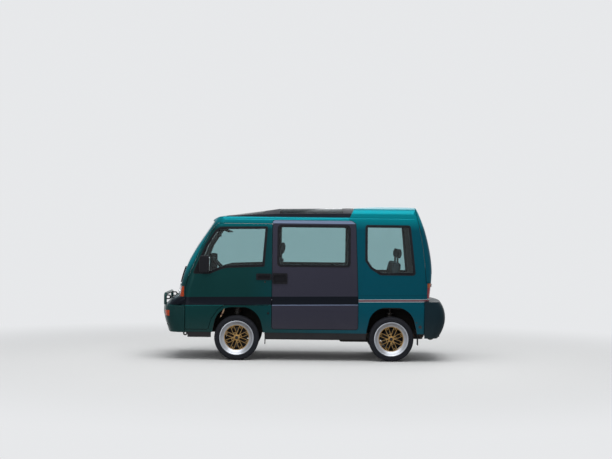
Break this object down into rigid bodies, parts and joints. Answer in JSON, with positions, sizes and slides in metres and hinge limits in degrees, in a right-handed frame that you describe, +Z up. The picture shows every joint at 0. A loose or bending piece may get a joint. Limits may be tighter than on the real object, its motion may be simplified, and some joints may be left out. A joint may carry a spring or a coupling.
{
  "type": "minibus",
  "caption": "Small cab-over minibus with a raised rear roof, glass sunroof panels, hinged front doors, sliding side doors, a lifting tailgate and deep-dish mesh wheels.",
  "frame": {"origin": "on the ground under the middle of the vehicle's bounding box", "axes": "+X towards the tail, +Y towards the vehicle's right side, +Z up"},
  "size_m": [3.5256, 1.731, 1.891],
  "materials": {
    "green_paint": "metallic gloss",
    "bumper_paint": "satin",
    "grey_paint": "satin",
    "black_plastic": "matte",
    "black_rubber": "matte",
    "window_glass": "clear",
    "tinted_glass": "tinted",
    "clear_lens": "clear",
    "amber_lens": "clear",
    "red_lens": "clear",
    "underbody": "matte",
    "suspension_steel": "dull",
    "engine_iron": "dull",
    "seat_fabric": "woven",
    "cabin_plastic": "grained",
    "lamp_reflector": "bright",
    "wheel_metal": "gold centre, polished lip",
    "tyre_rubber": "matte"
  },
  "bodies": {
    "root": {"body_side_left": "green_paint", "body_side_right": "green_paint", "roof_panel": "green_paint", "front_panel": "green_paint", "floor_pan": "underbody", "sill_covers": "black_plastic", "front_bumper": "bumper_paint", "rear_bumper": "bumper_paint", "grille": "black_plastic", "headlamps": "clear_lens", "lamp_housings": "lamp_reflector", "front_indicators": "amber_lens", "tail_lamps": "red_lens", "guard_bar": "green_paint", "front_wipers": "black_plastic", "mud_flaps": "black_rubber", "windshield": "window_glass", "side_glass": "window_glass", "sunroof_glass": "tinted_glass", "sunroof_frame": "black_plastic", "side_trim": "black_rubber", "sliding_doors": "grey_paint", "front_seats": "seat_fabric", "middle_bench": "seat_fabric", "rear_bench": "seat_fabric", "dashboard": "cabin_plastic", "front_suspension": "suspension_steel", "rear_suspension": "suspension_steel", "chassis_rails": "underbody", "cross_members": "underbody", "tow_eyes": "underbody", "fuel_tank": "underbody", "engine_block": "engine_iron", "exhaust": "suspension_steel"},
    "front_door_left": {"front_door_left": "green_paint", "front_door_glass_left": "window_glass", "front_door_trim_left": "black_rubber", "door_mirror_left": "black_plastic"},
    "front_door_right": {"front_door_right": "green_paint", "front_door_glass_right": "window_glass", "front_door_trim_right": "black_rubber", "door_mirror_right": "black_plastic"},
    "tailgate": {"tailgate": "green_paint", "tailgate_glass": "window_glass", "tailgate_trim": "black_rubber"},
    "steering_wheel": {"steering_wheel": "cabin_plastic"},
    "left_knuckle": {"front_knuckle_left": "suspension_steel"},
    "right_knuckle": {"front_knuckle_right": "suspension_steel"},
    "wheel_front_left": {"rim_front_left": "wheel_metal", "tyre_front_left": "tyre_rubber"},
    "wheel_front_right": {"rim_front_right": "wheel_metal", "tyre_front_right": "tyre_rubber"},
    "wheel_rear_left": {"rim_rear_left": "wheel_metal", "tyre_rear_left": "tyre_rubber"},
    "wheel_rear_right": {"rim_rear_right": "wheel_metal", "tyre_rear_right": "tyre_rubber"}
  },
  "joints": [
    {"name": "front_door_left_hinge", "type": "hinge", "parent": "root", "child": "front_door_left", "pos_m": [-1.455, -0.7075, 0.9], "axis": [0, 0, -1], "range_deg": [0, 65]},
    {"name": "front_door_right_hinge", "type": "hinge", "parent": "root", "child": "front_door_right", "pos_m": [-1.455, 0.7075, 0.9], "axis": [0, 0, 1], "range_deg": [0, 65]},
    {"name": "tailgate_hinge", "type": "hinge", "parent": "root", "child": "tailgate", "pos_m": [1.356, 0, 1.886], "axis": [0, -1, 0], "range_deg": [0, 85]},
    {"name": "left_steer", "type": "hinge", "parent": "root", "child": "left_knuckle", "pos_m": [-0.8225, -0.59, 0.273], "axis": [0, 0, 1], "range_deg": [-32, 32]},
    {"name": "right_steer", "type": "hinge", "parent": "root", "child": "right_knuckle", "pos_m": [-0.8225, 0.59, 0.273], "axis": [0, 0, 1], "range_deg": [-32, 32]},
    {"name": "steering_wheel_turn", "type": "hinge", "parent": "root", "child": "steering_wheel", "pos_m": [-1.025, -0.34, 1.097], "axis": [0.7501, 0, 0.6613], "range_deg": [-450, 450]},
    {"name": "front_left_spin", "type": "hinge", "parent": "left_knuckle", "child": "wheel_front_left", "pos_m": [-0.8225, -0.6225, 0.273], "axis": [0, 1, 0], "continuous": true},
    {"name": "front_right_spin", "type": "hinge", "parent": "right_knuckle", "child": "wheel_front_right", "pos_m": [-0.8225, 0.6225, 0.273], "axis": [0, 1, 0], "continuous": true},
    {"name": "rear_left_spin", "type": "hinge", "parent": "root", "child": "wheel_rear_left", "pos_m": [1.0625, -0.6225, 0.273], "axis": [0, 1, 0], "continuous": true},
    {"name": "rear_right_spin", "type": "hinge", "parent": "root", "child": "wheel_rear_right", "pos_m": [1.0625, 0.6225, 0.273], "axis": [0, 1, 0], "continuous": true}
  ],
  "couplings": [
    {"joint": "right_steer", "follows": "left_steer", "ratio": 1},
    {"joint": "steering_wheel_turn", "follows": "left_steer", "ratio": 14}
  ]
}
